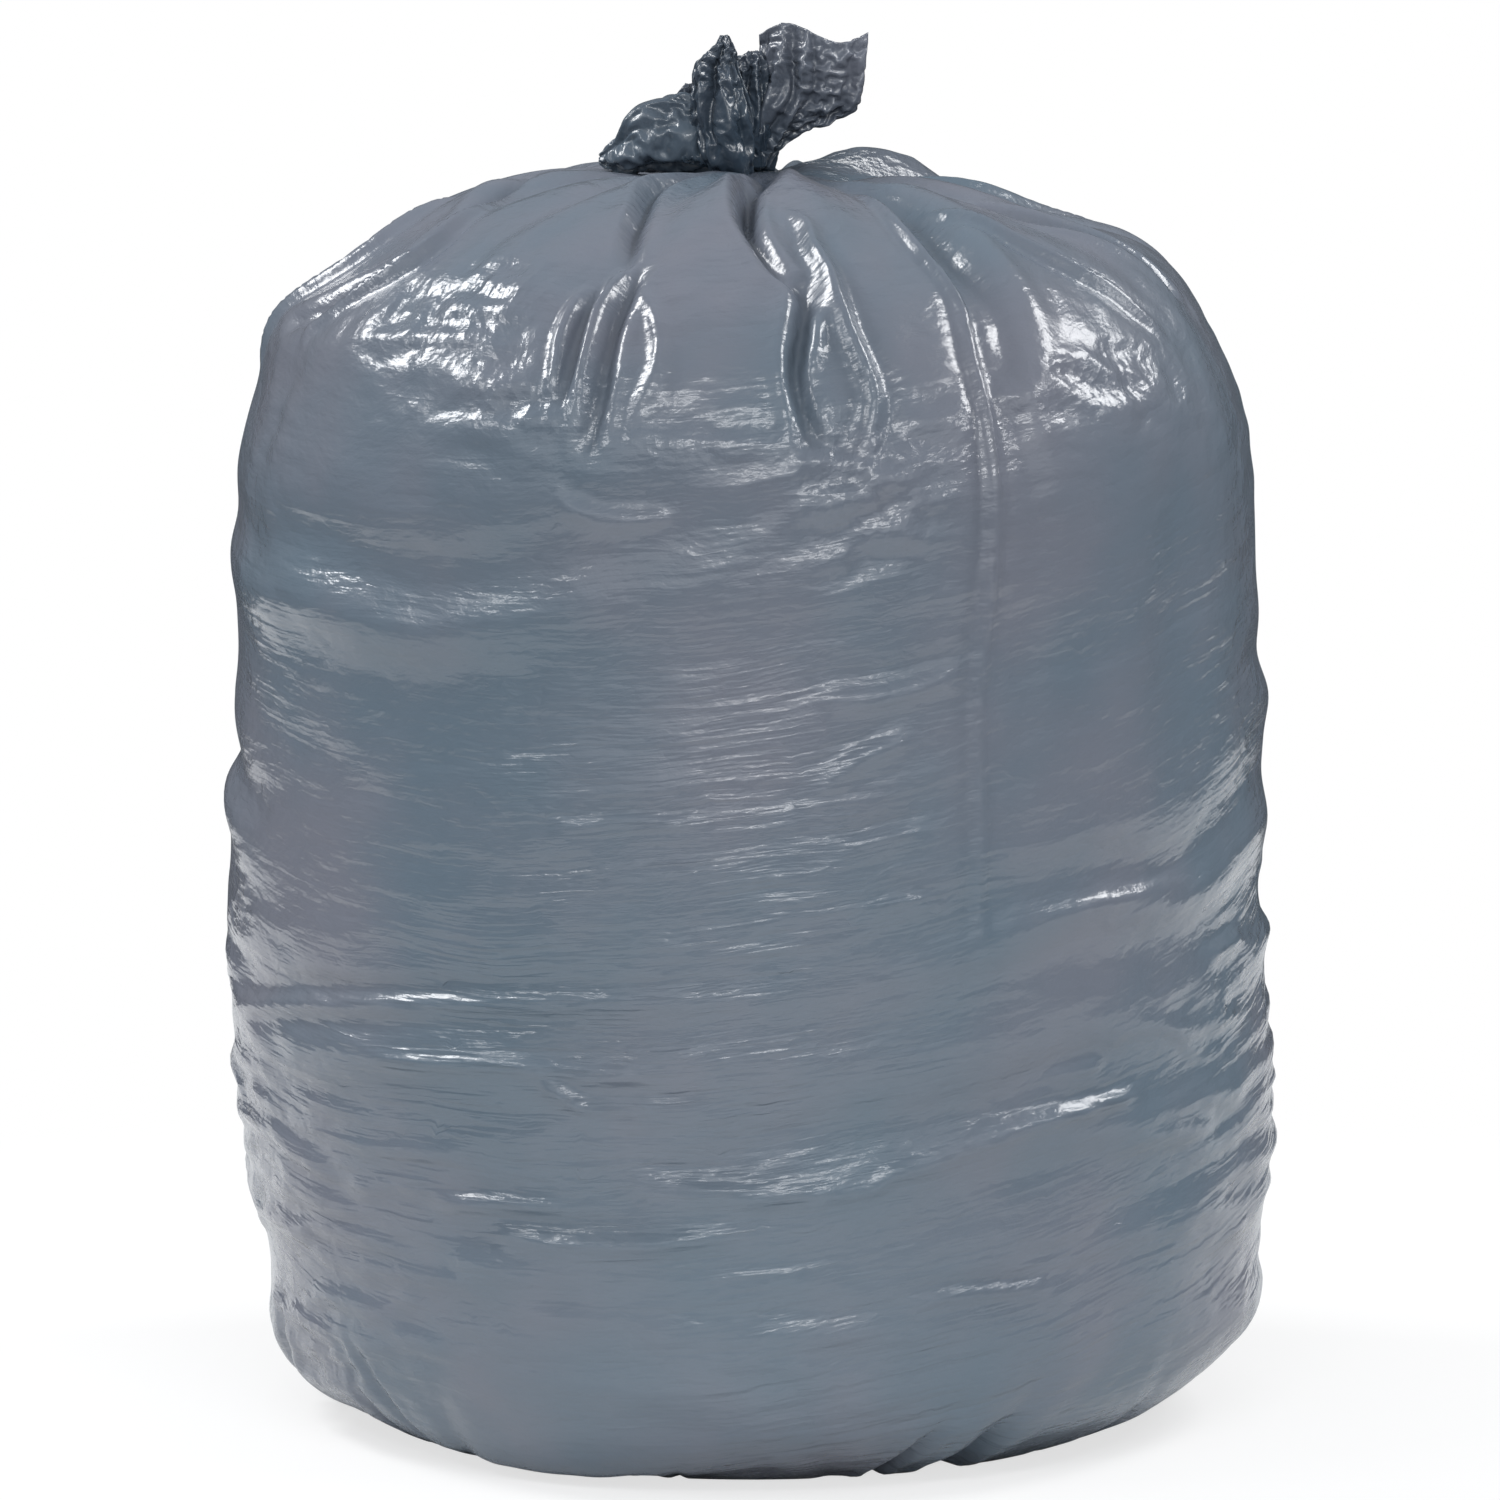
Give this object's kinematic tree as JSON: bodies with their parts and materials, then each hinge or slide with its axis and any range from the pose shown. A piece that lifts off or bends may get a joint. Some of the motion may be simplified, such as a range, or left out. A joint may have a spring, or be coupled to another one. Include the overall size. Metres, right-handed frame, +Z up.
{
  "type": "filled bin bag",
  "caption": "Full bin bag of grey film standing upright, gathered at the top and tied shut with its own neck.",
  "frame": {"origin": "on the floor under the middle of the bag", "axes": "+Z up through the knot, -Y towards the front, +X towards the side the loose end flares to"},
  "size_m": [0.5208, 0.5176, 0.6842],
  "materials": {
    "film": "thin blown polyethylene film, grey-blue, glossy and finely crinkled"
  },
  "bodies": {
    "root": {"tied_bag": "film"}
  },
  "joints": []
}
